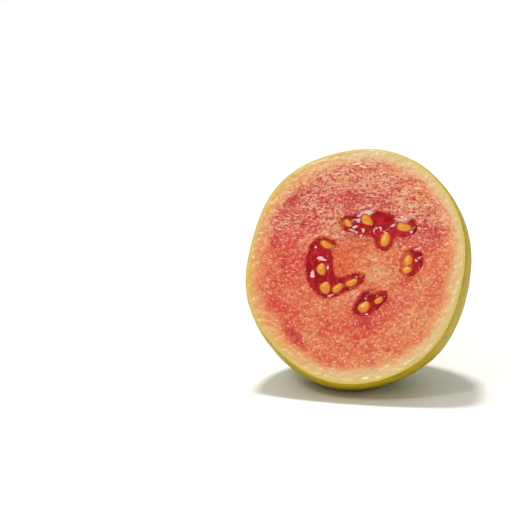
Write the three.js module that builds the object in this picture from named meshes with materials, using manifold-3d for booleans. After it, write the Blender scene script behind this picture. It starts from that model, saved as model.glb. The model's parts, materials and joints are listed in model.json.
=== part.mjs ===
// Half of a ripe pink guava. The fruit was cut straight across its middle, and the blossom half
// lies on its side with the cut to the front, leaning back on a small flat spot.
// Millimetres, +Z up. The cut faces -Y, and the origin is under the middle, on what it rests on.
//
// Everything is worked out in the frame of the cut: x to the right, y up the cut, and z out of
// it towards the viewer, with the zero at the middle of the cut face. The group that holds the
// pieces leans that frame back and sets it down.
import * as THREE from 'three';
import { mergeVertices } from 'three/addons/utils/BufferGeometryUtils.js';
import Module from 'manifold-3d';

const wasm = await Module();
wasm.setup();

// Size and stance
const CUT_RADIUS = 36;
const LEAN_DEG = 23.3;
const FACE_CENTRE = new THREE.Vector3(-0.38, -15.77, 40.85);
const GAP = 0.3;

// Form of the fruit
const WIDEST_BEHIND_CUT = 5.4;
const BLOSSOM_LENGTH = 42;
const CUT_AWAY_LENGTH = 37;
const FULLNESS = 0.86;
const SKIN_THICKNESS = 1.4;
const BLOSSOM_SHIFT = new THREE.Vector2(-0.7, -4.6);
const BASIN_DEPTH = 1.8;
const BASIN_RADIUS = 8;
const SETTLE_BLEND = 0.4;

// Waves round the girth: how many, how far they swell as a share of the radius, and where
const OUTLINE_WAVES = [
  { count: 2, swell: 0.0458, atDeg: 175 },
  { count: 3, swell: 0.0085, atDeg: 160 },
  { count: 4, swell: 0.0072, atDeg: 138 },
  { count: 5, swell: 0.0052, atDeg: -56 },
  { count: 6, swell: 0.0076, atDeg: 112 },
];
// Soft swells of the outside behind the cut, in millimetres, each turning by a twist as it runs back
const LUMPS = [
  { count: 1, height: 2, atDeg: -20, twistDeg: 0 },
  { count: 2, height: 2.1, atDeg: 100, twistDeg: 0 },
  { count: 3, height: 0.9, atDeg: -83, twistDeg: 30 },
];
const BLOSSOM_RIBS = { count: 5, height: 0.7, atDeg: 20, from: 0.62 };

// Seed pockets, as smooth outlines on the cut face, and how deep they and their pulp go
const POCKET_DEPTH = 4.2;
const PULP_BELOW_CUT = 0.9;
const ABOVE_CUT = 1;
const POCKETS = {
  top: [[-5.6, 13], [-4.1, 14.8], [-1.2, 15.5], [3, 17.2], [8.1, 16.6], [14.3, 14.7], [17.9, 14.2], [18.6, 12.2],
    [16.6, 9.6], [12.2, 8.9], [11.2, 5.9], [9.6, 4.6], [7.2, 5.4], [5.6, 8.6], [0.3, 9.6], [-4.4, 11.2]],
  left: [[-14.6, 3], [-13, 6.7], [-9.9, 7.6], [-6.3, 6], [-7.2, 2.4], [-6.8, -1.3], [-5.9, -4.2], [-3.4, -5],
    [0.6, -3.4], [3.4, -3.4], [2.7, -6.1], [-1.6, -8.9], [-4.9, -10.6], [-8.6, -11.3], [-12.3, -8.6], [-14.7, -3.6]],
  bottom: [[1.2, -15.2], [1.8, -12.8], [4.2, -8.7], [6.4, -7.9], [8.4, -8.8], [10.7, -8.6], [11, -11.2],
    [8.6, -13.8], [6.2, -15.9], [3.3, -16.3]],
  right: [[15, -2.5], [14.8, 0.3], [15.2, 3.4], [17.4, 5.1], [20.4, 4.2], [21.2, 1], [19.6, -2], [17.1, -3.2]],
};

// Seeds: half the length, width and height of a full-sized one, how much narrower its tip is than
// its middle, and how far it bends like a bean. Each lies in its pocket's pulp, turned and sized.
const SEED = { length: 2.35, width: 1.45, height: 1.3, taper: 0.16, bend: 0.3 };
const SEED_TOP_BELOW_CUT = 0.2;
const SEEDS = {
  top: [
    { at: [-3, 13.1], turnDeg: -45, size: 0.72 },
    { at: [3.1, 14], turnDeg: -48, size: 1.05 },
    { at: [9.2, 7.9], turnDeg: 75, size: 1.02 },
    { at: [14.7, 12.2], turnDeg: -20, size: 1.05 },
  ],
  left: [
    { at: [-9.3, 5.6], turnDeg: -23, size: 0.92 },
    { at: [-10.3, -2.4], turnDeg: -70, size: 0.9 },
    { at: [-8.5, -8.3], turnDeg: -75, size: 0.96 },
    { at: [-4.6, -8.0], turnDeg: 47, size: 0.82 },
    { at: [-0.2, -5.9], turnDeg: 31, size: 0.82 },
  ],
  bottom: [
    { at: [4.4, -13.4], turnDeg: 40, size: 1.02 },
    { at: [8.7, -11.1], turnDeg: 38, size: 0.68 },
  ],
  right: [
    { at: [16.9, 2.3], turnDeg: 85, size: 0.84 },
    { at: [16.9, -1.4], turnDeg: 15, size: 0.6 },
  ],
};

// Dried crown at the blossom end: a ring with a rounded edge round a dished disc, and pointed
// lobes that spread outwards from the ring, their feet sunk into it
const CROWN = { radius: 5, wall: 1.2, height: 1.7, rounding: 0.4, dishEdge: 0.7, dishMiddle: 1, root: 2.5 };
const LOBES = { count: 5, length: 4.4, width: 5.4, belly: 0.55, thickness: 0.8, spreadDeg: 50, sunk: 0.9 };

// How finely the solids are faceted
const AROUND = 60;
const OUTER_RINGS = 20;
const INNER_RINGS = 14;
const SEED_SIDES = 12;
const SEED_RINGS = 8;
const POCKET_STEPS = 3;
const CROWN_SIDES = 30;
const LOBE_STEPS = 4;

const lean = THREE.MathUtils.degToRad(LEAN_DEG);
const worldUp = new THREE.Vector3(0, Math.cos(lean), Math.sin(lean));

const looks = {
  skin: { color: 0x9aa02c, roughness: 0.42 },
  flesh: { color: 0xe0785a, roughness: 0.38 },
  pulp: { color: 0xa01424, roughness: 0.15 },
  seed: { color: 0xe2a03c, roughness: 0.3 },
  crown: { color: 0x6b5a3a, roughness: 0.9 },
};

function wave(term, phi, twist = 0) {
  const phase = THREE.MathUtils.degToRad(term.atDeg + twist);
  return Math.cos(term.count * phi - phase);
}

function cutRadius(phi) {
  const swell = OUTLINE_WAVES.reduce((sum, term) => sum + term.swell * wave(term, phi), 0);
  return CUT_RADIUS * (1 + swell);
}

// A point of the fruit's surface, shrunk inwards by some millimetres. The share along runs from
// 0 at the cut to 1 at the blossom end, and phi runs round the cut from its right side.
// The girth follows a full-shouldered ellipse that is widest a little way behind the cut.
function fruitPoint(along, phi, shrink) {
  const blossomLength = BLOSSOM_LENGTH - shrink;
  const cutAwayLength = CUT_AWAY_LENGTH - shrink;
  const cutAngle = Math.acos(-WIDEST_BEHIND_CUT / cutAwayLength);
  const angle = cutAngle * (1 - along);
  const reach = Math.cos(angle) > 0 ? blossomLength : cutAwayLength;
  let z = -WIDEST_BEHIND_CUT - reach * Math.cos(angle);
  const depth = -z / (WIDEST_BEHIND_CUT + blossomLength);
  const girth = (Math.sin(angle) / Math.sin(cutAngle)) ** FULLNESS;
  const lumpShare = Math.sin(Math.PI * Math.min(depth, 1));
  const lumps = LUMPS.reduce((sum, term) => sum + term.height * wave(term, phi, term.twistDeg * depth), 0);
  const ribShare = THREE.MathUtils.smoothstep(depth, BLOSSOM_RIBS.from, 1) * girth;
  const ribs = BLOSSOM_RIBS.height * wave(BLOSSOM_RIBS, phi) * ribShare;
  const radius = (cutRadius(phi) - shrink) * girth + (lumps * lumpShare + ribs) * girth;
  z += BASIN_DEPTH * Math.exp(-((radius / BASIN_RADIUS) ** 2)) * along ** 2;
  const x = radius * Math.cos(phi) + BLOSSOM_SHIFT.x * depth ** 2;
  const y = radius * Math.sin(phi) + BLOSSOM_SHIFT.y * depth ** 2;
  return settle(new THREE.Vector3(x, y, z), shrink);
}

// Flattens what would reach below the height it may have over the surface the fruit rests on,
// with a short round blend at the edge of the flat.
function settle(point, clearance) {
  const height = FACE_CENTRE.z + point.dot(worldUp) - clearance;
  if (height >= SETTLE_BLEND) return point;
  const eased = height <= -SETTLE_BLEND ? 0 : (height + SETTLE_BLEND) ** 2 / (4 * SETTLE_BLEND);
  return point.addScaledVector(worldUp, eased - height);
}

function ring(along, shrink) {
  return Array.from({ length: AROUND }, (_, i) => fruitPoint(along, (2 * Math.PI * i) / AROUND, shrink));
}

// Rings of the surface from the blossom end forwards to the cut
function rings(count, shrink) {
  return Array.from({ length: count }, (_, i) => ring(1 - (i + 1) / count, shrink));
}

// One closed body from a first point, rings of equal length, and a last point
function loft(first, stack, last) {
  const points = [first, ...stack.flat(), last];
  const sides = stack[0].length;
  const at = (row, i) => 1 + row * sides + (i % sides);
  const end = points.length - 1;
  const index = [];
  for (let i = 0; i < sides; i += 1) {
    index.push(0, at(0, i + 1), at(0, i));
    for (let row = 0; row + 1 < stack.length; row += 1) {
      index.push(at(row, i), at(row, i + 1), at(row + 1, i));
      index.push(at(row, i + 1), at(row + 1, i + 1), at(row + 1, i));
    }
    index.push(end, at(stack.length - 1, i), at(stack.length - 1, i + 1));
  }
  return new THREE.BufferGeometry().setFromPoints(points).setIndex(index);
}

function solid(geometry) {
  const plain = geometry.clone();
  plain.deleteAttribute('normal');
  plain.deleteAttribute('uv');
  const merged = mergeVertices(plain, 1e-4);
  return new wasm.Manifold(new wasm.Mesh({
    numProp: 3,
    vertProperties: merged.attributes.position.array,
    triVerts: new Uint32Array(merged.index.array),
  }));
}

function geometryOf(body) {
  const mesh = body.getMesh();
  const geometry = new THREE.BufferGeometry();
  geometry.setAttribute('position', new THREE.BufferAttribute(mesh.vertProperties, 3));
  geometry.setIndex(new THREE.BufferAttribute(mesh.triVerts, 1));
  return geometry;
}

function piece(name, geometry, look) {
  geometry.computeVertexNormals();
  const mesh = new THREE.Mesh(geometry, new THREE.MeshStandardMaterial({ ...looks[look], metalness: 0 }));
  mesh.name = name;
  return mesh;
}

// The skin is a thin cup, open at the cut
function skin() {
  const outside = rings(OUTER_RINGS, 0);
  const inside = rings(INNER_RINGS, SKIN_THICKNESS).reverse();
  return loft(fruitPoint(1, 0, 0), [...outside, ...inside], fruitPoint(1, 0, SKIN_THICKNESS));
}

// The flesh fills the skin up to the cut
function fleshBlank() {
  const shrink = SKIN_THICKNESS + GAP;
  return loft(fruitPoint(1, 0, shrink), rings(INNER_RINGS, shrink), new THREE.Vector3(0, 0, 0));
}

// The area inside a pocket's outline, drawn in by an inset. The outlines run clockwise, so the
// inside lies to the right of the way they go.
function pocketShape(outline, inset) {
  const curve = new THREE.CatmullRomCurve3(outline.map(([x, y]) => new THREE.Vector3(x, y, 0)), true);
  const steps = outline.length * POCKET_STEPS;
  const points = Array.from({ length: steps }, (_, i) => {
    const p = curve.getPoint(i / steps);
    const way = curve.getTangent(i / steps);
    return new THREE.Vector2(p.x + way.y * inset, p.y - way.x * inset);
  });
  return new THREE.Shape(points);
}

function pocketBody(outline, inset, floor, top) {
  const shape = pocketShape(outline, inset);
  const geometry = new THREE.ExtrudeGeometry(shape, { depth: top - floor, bevelEnabled: false });
  return solid(geometry.translate(0, 0, floor));
}

// A seed, grown outwards by some millimetres: a ball drawn out, narrowed to its tip and bent
function seedGeometry({ at, turnDeg, size }, grow) {
  const geometry = new THREE.SphereGeometry(1, SEED_SIDES, SEED_RINGS).rotateZ(Math.PI / 2);
  const p = geometry.attributes.position;
  for (let i = 0; i < p.count; i += 1) {
    const t = p.getX(i);
    const slim = 1 - SEED.taper * t;
    const bend = SEED.bend * size * (t * t - 0.5);
    const x = t * (SEED.length * size + grow);
    const y = p.getY(i) * (SEED.width * size + grow) * slim + bend;
    p.setXYZ(i, x, y, p.getZ(i) * (SEED.height * size + grow) * slim);
  }
  const middle = -SEED_TOP_BELOW_CUT - SEED.height * size * (1 + SEED.taper / 6);
  return geometry.rotateZ(THREE.MathUtils.degToRad(turnDeg)).translate(at[0], at[1], middle);
}

// The flesh has a straight recess for each pocket
function flesh() {
  const recesses = Object.values(POCKETS).map((outline) => pocketBody(outline, 0, -POCKET_DEPTH, ABOVE_CUT));
  return geometryOf(recesses.reduce((body, recess) => body.subtract(recess), solid(fleshBlank())));
}

// The jelly-like pulp of a pocket holds its seeds in sockets
function pulp(pocket) {
  const body = pocketBody(POCKETS[pocket], GAP, GAP - POCKET_DEPTH, -PULP_BELOW_CUT);
  const sockets = SEEDS[pocket].map((seed) => solid(seedGeometry(seed, GAP)));
  return geometryOf(sockets.reduce((rest, socket) => rest.subtract(socket), body));
}

// The crown is made standing up along +z, turned over onto the blossom end, and cut to fit it
function crown() {
  const lobes = Array.from({ length: LOBES.count }, (_, i) => solid(lobe().rotateZ((2 * Math.PI * i) / LOBES.count)));
  const upright = lobes.reduce((body, blade) => body.add(blade), solid(crownRing()));
  const place = new THREE.Matrix4().makeRotationX(Math.PI).setPosition(fruitPoint(1, 0, 0));
  const turned = solid(geometryOf(upright).applyMatrix4(place));
  const fruitWithGap = loft(fruitPoint(1, 0, -GAP), rings(OUTER_RINGS, -GAP), new THREE.Vector3());
  return geometryOf(turned.subtract(solid(fruitWithGap)));
}

function crownRing() {
  const { radius, wall, height, rounding, dishEdge, dishMiddle, root } = CROWN;
  const inner = radius - wall;
  const profile = [
    [0, -root],
    [radius, -root],
    [radius, height - rounding],
    [radius - wall / 2, height],
    [inner, height - rounding],
    [inner - rounding, dishEdge],
    [0, dishMiddle],
  ];
  return new THREE.LatheGeometry(profile.map(([x, y]) => new THREE.Vector2(x, y)), CROWN_SIDES).rotateX(Math.PI / 2);
}

// One lobe is a blade with arched sides that leans out from the ring
function lobe() {
  const { length, width, belly, thickness, spreadDeg, sunk } = LOBES;
  const shape = new THREE.Shape();
  shape.moveTo(-width / 2, -sunk);
  shape.lineTo(width / 2, -sunk);
  shape.quadraticCurveTo(width / 2, length * belly, 0, length);
  shape.quadraticCurveTo(-width / 2, length * belly, -width / 2, -sunk);
  const blade = new THREE.ExtrudeGeometry(shape, { depth: thickness, bevelEnabled: false, curveSegments: LOBE_STEPS });
  blade.translate(0, 0, -thickness / 2);
  blade.rotateX(Math.PI / 2 - THREE.MathUtils.degToRad(spreadDeg));
  blade.rotateZ(-Math.PI / 2);
  return blade.translate(CROWN.radius - CROWN.wall / 2, 0, CROWN.height - sunk);
}

const fruit = new THREE.Group();
fruit.rotation.x = Math.PI / 2 - lean;
fruit.position.copy(FACE_CENTRE);
fruit.add(piece('skin', skin(), 'skin'));
fruit.add(piece('flesh', flesh(), 'flesh'));
fruit.add(piece('blossom_crown', crown(), 'crown'));
for (const [pocket, seeds] of Object.entries(SEEDS)) {
  fruit.add(piece(`pulp_${pocket}`, pulp(pocket), 'pulp'));
  seeds.forEach((seed, i) => fruit.add(piece(`seed_${pocket}_${i + 1}`, seedGeometry(seed, 0), 'seed')));
}

const group = new THREE.Group();
group.add(fruit);
export default group;
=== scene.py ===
# The looks of half a ripe guava, built round its solid model.
# Lengths in the property groups are real lengths. The shapes are worked out in millimetres in the
# frame of the cut: x to its right, y up it and z out of it, with the zero at the middle of the cut.
import functools
import json
import math

import bpy
import numpy as np
from bpy.props import FloatProperty, FloatVectorProperty, IntProperty, PointerProperty
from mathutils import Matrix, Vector


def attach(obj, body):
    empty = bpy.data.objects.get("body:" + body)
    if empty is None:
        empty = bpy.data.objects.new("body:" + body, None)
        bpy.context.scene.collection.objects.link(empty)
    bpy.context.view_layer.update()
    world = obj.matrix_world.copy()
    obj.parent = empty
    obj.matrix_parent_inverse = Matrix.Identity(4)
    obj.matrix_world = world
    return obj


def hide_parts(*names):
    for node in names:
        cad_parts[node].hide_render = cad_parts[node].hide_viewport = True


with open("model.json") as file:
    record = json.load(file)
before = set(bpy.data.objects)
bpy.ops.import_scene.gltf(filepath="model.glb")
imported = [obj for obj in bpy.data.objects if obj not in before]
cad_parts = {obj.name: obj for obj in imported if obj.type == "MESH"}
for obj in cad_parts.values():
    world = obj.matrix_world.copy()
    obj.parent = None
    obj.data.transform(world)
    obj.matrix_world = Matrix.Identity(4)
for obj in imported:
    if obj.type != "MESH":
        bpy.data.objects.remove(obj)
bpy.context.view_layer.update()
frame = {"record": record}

bl_info = {
    "name": "Half Guava",
    "version": (1, 0, 0),
    "blender": (4, 5, 0),
    "location": "View3D > Sidebar > Guava",
    "description": "Builds the skin, flesh, pulp, seeds and dried crown of a guava cut in half",
    "category": "Add Mesh",
}

MM = 0.001

# The cut's own frame, from the point and direction of its mount
CUT = next(m for m in frame["record"]["mounts"] if m["name"] == "cut_face")
FACE_CENTRE = np.array(CUT["pos_m"]) / MM
OUT = np.array(CUT["axis"], float)
RIGHT = np.array([1.0, 0.0, 0.0])
UP = np.cross(OUT, RIGHT)
LEAN = math.atan2(OUT[2], -OUT[1])

# Waves round the girth: how many, how far they swell as a share of the radius, and at what angle
OUTLINE_WAVES = [(2, 0.0458, 175), (3, 0.0085, 160), (4, 0.0072, 138), (5, 0.0052, -56), (6, 0.0076, 112)]
# Soft swells behind the cut: how many, height in mm, angle, and how far they twist as they run back
LUMPS = [(1, 2.0, -20, 0), (2, 2.1, 100, 0), (3, 0.9, -83, 30)]
BLOSSOM_SHIFT = (-0.7, -4.6)
BLOSSOM_RIBS = (5, 0.7, 20, 0.62)
BASIN_DEPTH, BASIN_RADIUS = 1.8, 8.0
SETTLE_BLEND = 0.4
# Slight flare of the rim: height in mm, angle, how narrow it is, and how far back along it fades out
FLARE = (0.6, -18, 2.8, 0.2)

# Seed pockets: the outline on the cut face, clockwise, and which two of its points are the ends
# between which the pulp is drawn from one side to the other
POCKETS = {
    "top": ([(-5.6, 13), (-4.1, 14.8), (-1.2, 15.5), (3, 17.2), (8.1, 16.6), (14.3, 14.7), (17.9, 14.2),
             (18.6, 12.2), (16.6, 9.6), (12.2, 8.9), (11.2, 5.9), (9.6, 4.6), (7.2, 5.4), (5.6, 8.6),
             (0.3, 9.6), (-4.4, 11.2)], 0, 7),
    "left": ([(-14.6, 3), (-13, 6.7), (-9.9, 7.6), (-6.3, 6), (-7.2, 2.4), (-6.8, -1.3), (-5.9, -4.2),
              (-3.4, -5), (0.6, -3.4), (3.4, -3.4), (2.7, -6.1), (-1.6, -8.9), (-4.9, -10.6),
              (-8.6, -11.3), (-12.3, -8.6), (-14.7, -3.6)], 2, 9),
    "bottom": ([(1.2, -15.2), (1.8, -12.8), (4.2, -8.7), (6.4, -7.9), (8.4, -8.8), (10.7, -8.6),
                (11, -11.2), (8.6, -13.8), (6.2, -15.9), (3.3, -16.3)], 0, 5),
    "right": ([(15, -2.5), (14.8, 0.3), (15.2, 3.4), (17.4, 5.1), (20.4, 4.2), (21.2, 1), (19.6, -2),
               (17.1, -3.2)], 0, 4),
}
OUTLINE_STEPS = 10

# Seeds in each pocket: place in the cut, turn in degrees, size against a full-sized seed, and how
# plump it is against a slender one
SEEDS = {
    "top": [(-3, 13.1, -45, 0.76, 1), (2.9, 14.4, -48, 1.08, 1.04), (9.1, 8.2, 78, 1.1, 1),
            (14.9, 12.6, -15, 1.16, 0.98)],
    "left": [(-9.2, 5.9, -22, 1.04, 0.88), (-10.2, -2.3, -70, 0.8, 1.35), (-8.4, -8.2, -75, 0.86, 1.45),
             (-4.5, -7.9, 47, 0.88, 1), (-0.3, -5.8, 28, 0.94, 0.98)],
    "bottom": [(4.2, -13.4, 40, 0.95, 1.22), (8.7, -11.1, 38, 0.7, 1)],
    "right": [(16.7, 2.1, 85, 0.9, 1.14), (16.7, -1.2, 12, 0.7, 1.1)],
}
# How far under the cut a seed's top lies, how much it narrows towards its tip, and how far it bends
SEED_TOP_BELOW_CUT, SEED_TAPER, SEED_BEND = 0.12, 0.16, 0.3
# The pulp: how far it reaches into the flesh, how deep it starts at the walls as a share of its full
# depth, how high it swells round a seed and over how many times the seed's size, and how deep it lies
# where flesh shows through
PULP_OVERLAP, WALL_SHARE, SWELL, SWELL_REACH, FLESHY_DEPTH = 0.45, 0.3, 0.1, 2.2, 0.55
# Flat wet places of the pulp: place, half length, half width, turn and strength. Then their rise per
# mm to the right and upwards, which turns them to the light
WET_SPOTS = [(-10.2, 1, 2.2, 1.2, -10, 1), (-12.9, -3.9, 1.8, 1.1, -60, 1), (-12.7, 4.8, 0.9, 0.6, 60, 1),
             (-0.7, 12, 1.3, 1, 40, 1), (1.9, 10.9, 1.6, 1, -50, 1), (10.9, 12.8, 2, 0.7, 35, 1),
             (7.6, 11.2, 1.2, 0.6, 80, 1), (20.2, 3, 0.9, 0.6, 30, 1), (4.5, -10.6, 0.8, 0.6, 50, 1)]
WET_TILT = (0.058, -0.133)
# The raised lip round a pocket: its height, and how far out and how wide it is, in mm
LIP_HEIGHT, LIP_PLACE, LIP_WIDTH = 0.12, 0.6, 0.6
# Noise on the surfaces: height and size in mm, seed and layers
PEEL_NOISE = [(0.12, 9, 1, 3), (0.045, 2.2, 5, 2)]
CUT_NOISE = [(0.1, 6, 21, 1)]
PULP_NOISE = [(0.3, 2.6, 31, 1), (0.13, 1.3, 35, 1)]
CROWN_NOISE = [(0.16, 1.3, 61, 3)]
# The pale band next to the peel: its mean width in mm, and the shares of it between which it fades.
# Then the waves of its width round the girth: how many, how far, and at what angle
CREAM_WIDTH, CREAM_FADE = 3.1, (1.42, 0.42)
CREAM_WAVES = [(1, 0.22, 0), (1, -0.2, 90), (2, -0.39, 0), (2, -0.2, 90), (5, 0.15, -57.3)]

# Spots of another colour: place in the cut, half length and half width in mm, turn in degrees, and
# how strong they are. First the crimson marks in the flesh
MARKS = [
    (-20.7, 20, 4.6, 2.2, 40, 1), (-24.2, 15.6, 2.4, 1.6, 60, 0.8), (-17.6, 11.6, 1.1, 0.9, 0, 1.1),
    (-25.9, 6.4, 3.2, 1.9, 80, 0.9), (-22.3, -0.6, 2.6, 1.2, 80, 0.9), (-25.6, -13.1, 2.6, 1.8, -30, 0.7),
    (-16.6, -24.2, 5.6, 1.9, -45, 1.1), (-2.4, -26, 1.8, 1, 0, 0.7), (8.1, -27.8, 3, 1.2, 20, 0.6),
    (12.9, -26.6, 2.4, 1, 20, 0.6), (24.4, 9.9, 4.6, 2.8, 70, 0.7), (21.4, 12, 2.6, 2.2, 20, 0.6),
    (-2.4, 21.1, 4.6, 3.6, 10, 0.7), (8.2, 21, 6, 3.4, -8, 0.6), (5, -18.9, 4.6, 2.2, 15, 0.85),
    (18.9, 5.8, 3.2, 1.1, 25, 0.9), (12.6, 8, 1.8, 1.2, 40, 0.6), (17, -4.6, 2, 1.2, 0, 0.6),
    (-10.5, -20.5, 3.5, 1, -15, 0.4), (20.5, -17, 4, 1.6, 50, 0.4), (-2.2, 8.6, 5, 1.4, -5, 0.55),
    (-17.5, 3, 1, 0.8, 0, 0.7), (-21.5, 25, 5, 1.2, 45, 0.4), (26.5, -4, 3, 1.2, 80, 0.45),
]
# Orange flesh round the middle, and paler and redder patches of the rest
ORANGE_SPOTS = [(-4.2, -0.4, 5.4, 4.4, 60, 1.6), (0.4, 4.8, 5.4, 3.4, 20, 0.9), (3.2, -0.4, 3, 2.6, 0, 0.5),
                (5.5, -6.8, 2.6, 1.4, -10, 0.8), (12, 1, 2, 4, 0, 0.35)]
PALE_SPOTS = [(7.6, -2.6, 5.2, 4.4, 0, 0.75), (0.5, -9.5, 4.5, 2, 35, 0.5), (16, -9, 4, 3, 0, 0.3),
              (-8, 16, 4, 2, 30, 0.35), (16.5, 20, 5, 2.5, -35, 0.4), (-2, 27, 13, 4, 4, 0.45),
              (18.5, -16, 9, 5.5, 45, 0.4), (21.5, -6, 3.5, 6, 0, 0.4), (-17, -12.6, 4, 3, 0, 0.25),
              (-7.8, -26, 6, 2.5, -10, 0.4), (-11, 25, 5, 2.2, 15, 0.35), (12.5, -3.4, 3.5, 3, 0, 0.35)]
REDDER_SPOTS = [(-19, 0, 8, 15, 0, 0.35), (3, -18, 13, 5, 8, 0.4), (20, 5, 6, 8, 0, 0.25),
                (-17, 19, 7, 5, 40, 0.3), (-20.5, -20.5, 9, 3, -45, 0.5), (-2, 16.5, 8, 5, 0, 0.45),
                (-12.5, 16.6, 4, 3, 0, 0.45), (-24.5, 10, 2.6, 4, -10, 0.5), (24.5, 10, 2.6, 4.5, 10, 0.5),
                (-25, -15.5, 2.2, 4, 30, 0.5)]
# Painted glare: pale highlight patches painted over the pockets' upper rims, where a wet surface would glint
PAINTED_GLARE_SPOTS = [(2.4, 16.5, 3.4, 0.95, 16, 1.1), (14, 15, 2.6, 0.9, -8, 1.1), (19.6, 5.6, 1.4, 0.5, 20, 0.9),
              (-1.2, 10.7, 2.6, 0.45, -18, 0.8)]
# Where flesh shows through the pulp
FLESHY_SPOTS = [(15, 0.5, 2.9, 6.5, 0, 1.3), (-6.3, 3.8, 1.6, 2.4, 20, 0.8), (-4.9, 12.6, 2, 1.8, 0, 1),
                (6.8, -8, 2.4, 1.3, 0, 0.9), (2.6, -3.6, 1.2, 0.9, 0, 0.7)]

# Lesser colours of the markings, as screen values. The grain and shred tops are paler grain with a painted
# highlight, and their hollows hold painted shade with a redder tint
TINTS = {
    "lime blotch": (166, 162, 30), "olive blotch": (120, 112, 10), "pore": (206, 200, 110),
    "basin": (120, 100, 44), "speck": (190, 44, 46), "streak": (255, 206, 172), "pale dot": (252, 204, 164),
    "grain top and highlight": (247, 188, 144), "grain hollow shade": (222, 84, 58), "pulp rim": (190, 40, 42),
    "pulp grain": (236, 74, 84), "round seed": (216, 52, 14), "shred": (226, 108, 62),
    "shred top and highlight": (250, 184, 134), "shred hollow shade": (206, 92, 66), "seed root": (176, 24, 20),
    "dark sepal": (78, 56, 28), "fibre": (172, 148, 92),
}

# Rows of points: down the outside of the peel and up its inside, down the back of the flesh, and
# from the rim of the cut to its middle
PEEL_ROWS, INSIDE_ROWS, BACK_ROWS, FACE_ROWS = 170, 25, 35, 185
# How far in from the peel's outside each row of its rounded rim lies, how far it stands out of the
# cut, and how much it counts as rim
PEEL_RIM = [(0.04, -0.14, 0.35), (0.12, -0.04, 0.7), (0.22, 0, 1), (0.36, 0, 1)]

# The dried crown, in mm and degrees
CROWN = {"radius": 5, "wall": 1.2, "height": 1.7, "root": 1.2}
SEPALS = {"count": 5, "length": 4.6, "half_width": 2.6, "thickness": 0.55, "spread": 50}
STAMENS = 46

# The camera stands opposite the view point on the cut, and aims at a place off it by the offset, so
# that the fruit stands to the right in the picture
VIEW_POINT = (0.8, -0.96)
AIM_OFFSET = (-30.885, -5.057, 2.809)
SENSOR_WIDTH = 36
FLOOR_HALF_WIDTH = 12
# Far lights: the way to each, how many degrees wide it is, and its colour
LIGHTS = {
    "key": ((-0.14, 0.2, 1), 10, (1, 0.99, 0.97)),
    "front": ((-0.28, -0.62, 0.73), 10, (1, 1, 1)),
    "side": ((0.95, 0.15, 0.35), 25, (1, 1, 1)),
}


def srgb(red, green, blue):
    """A colour given as 0 to 255 screen values, turned into linear light."""
    share = np.array([red, green, blue]) / 255.0
    linear = np.where(share <= 0.04045, share / 12.92, ((share + 0.055) / 1.055) ** 2.4)
    return tuple(float(v) for v in linear)


def tint(name):
    return srgb(*TINTS[name])


def length(name, description, millimetres):
    return FloatProperty(name=name, description=description, default=millimetres * MM, unit="LENGTH",
                         precision=5)


def colour(name, description, *screen):
    return FloatVectorProperty(name=name, description=description, default=srgb(*screen), size=3,
                               subtype="COLOR", min=0.0, max=1.0)


def angle(name, description, degrees):
    return FloatProperty(name=name, description=description, default=math.radians(degrees), subtype="ANGLE")


def strength(name, description, default):
    return FloatProperty(name=name, description=description, default=default, min=0.0)


class GuavaForm(bpy.types.PropertyGroup):
    """Sizes of the fruit; the large ones are those of its solid model"""

    cut_radius: length("Cut radius", "Mean radius of the cut face", 36)
    widest_behind_cut: length("Widest behind cut", "How far behind the cut the fruit is widest", 5.4)
    blossom_length: length("Blossom length", "From the widest girth to the blossom end", 42)
    cut_away_length: length("Cut-away length", "From the widest girth to the stem end that was cut off", 37)
    fullness: FloatProperty(name="Fullness", description="Power of the girth's curve; less is fuller",
                            default=0.86, min=0.3, max=1.5, subtype="FACTOR")
    peel: length("Peel", "Thickness of the peel that shows at the cut", 0.46)
    pocket_depth: length("Pocket depth", "Depth of the seed pockets", 3.1)
    pulp_below_cut: length("Pulp below cut", "How far the pulp lies below the cut", 1.05)
    seed_length: length("Seed length", "Half the length of a full-sized seed", 2.5)
    seed_width: length("Seed width", "Half its width", 1.56)
    seed_height: length("Seed height", "Half its height", 1.3)
    grain: length("Flesh grain", "Height of the flesh's grains", 0.1)
    around: IntProperty(name="Steps around", description="Faces around the fruit", default=400, min=24)


class GuavaColours(bpy.types.PropertyGroup):
    """Colours of the fruit's tissues"""

    peel_yellow: colour("Peel yellow", "Peel near the cut", 184, 158, 18)
    peel_lime: colour("Peel lime", "Yellow patches of the green peel", 178, 172, 26)
    peel_green: colour("Peel green", "Greener peel", 136, 146, 16)
    peel_edge: colour("Peel edge", "Cut edge of the peel", 222, 198, 110)
    salmon: colour("Salmon", "Flesh", 233, 142, 79)
    coral: colour("Coral", "Redder flesh", 224, 60, 34)
    orange: colour("Orange", "Flesh round the middle", 224, 94, 0)
    pale: colour("Pale flesh", "Palest patches of the flesh", 233, 170, 106)
    cream: colour("Cream", "Flesh next to the peel", 226, 192, 133)
    warm_cream: colour("Warm cream", "The same on the fruit's left", 226, 170, 92)
    crimson: colour("Crimson", "Marks in the flesh and walls of the pockets", 202, 20, 24)
    film: colour("Painted glare", "Pale film over the pockets' rims", 255, 222, 214)
    pulp: colour("Pulp", "Jelly round the seeds", 164, 0, 8)
    pulp_thin: colour("Thin pulp", "Redder jelly where it is thin", 224, 34, 54)
    seed: colour("Seed", "Seed coat", 230, 132, 8)
    seed_gold: colour("Golden seed", "Paler parts of the seed coat", 238, 176, 50)
    seed_edge: colour("Seed edge", "Darker parts of the seed coat", 210, 82, 8)
    # Colour of the painted glare, a pale highlight painted over the pockets' rims
    crown: colour("Crown", "Dried sepals", 124, 98, 56)
    floor: colour("Floor", "Plain floor", 250, 249, 247)


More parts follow.
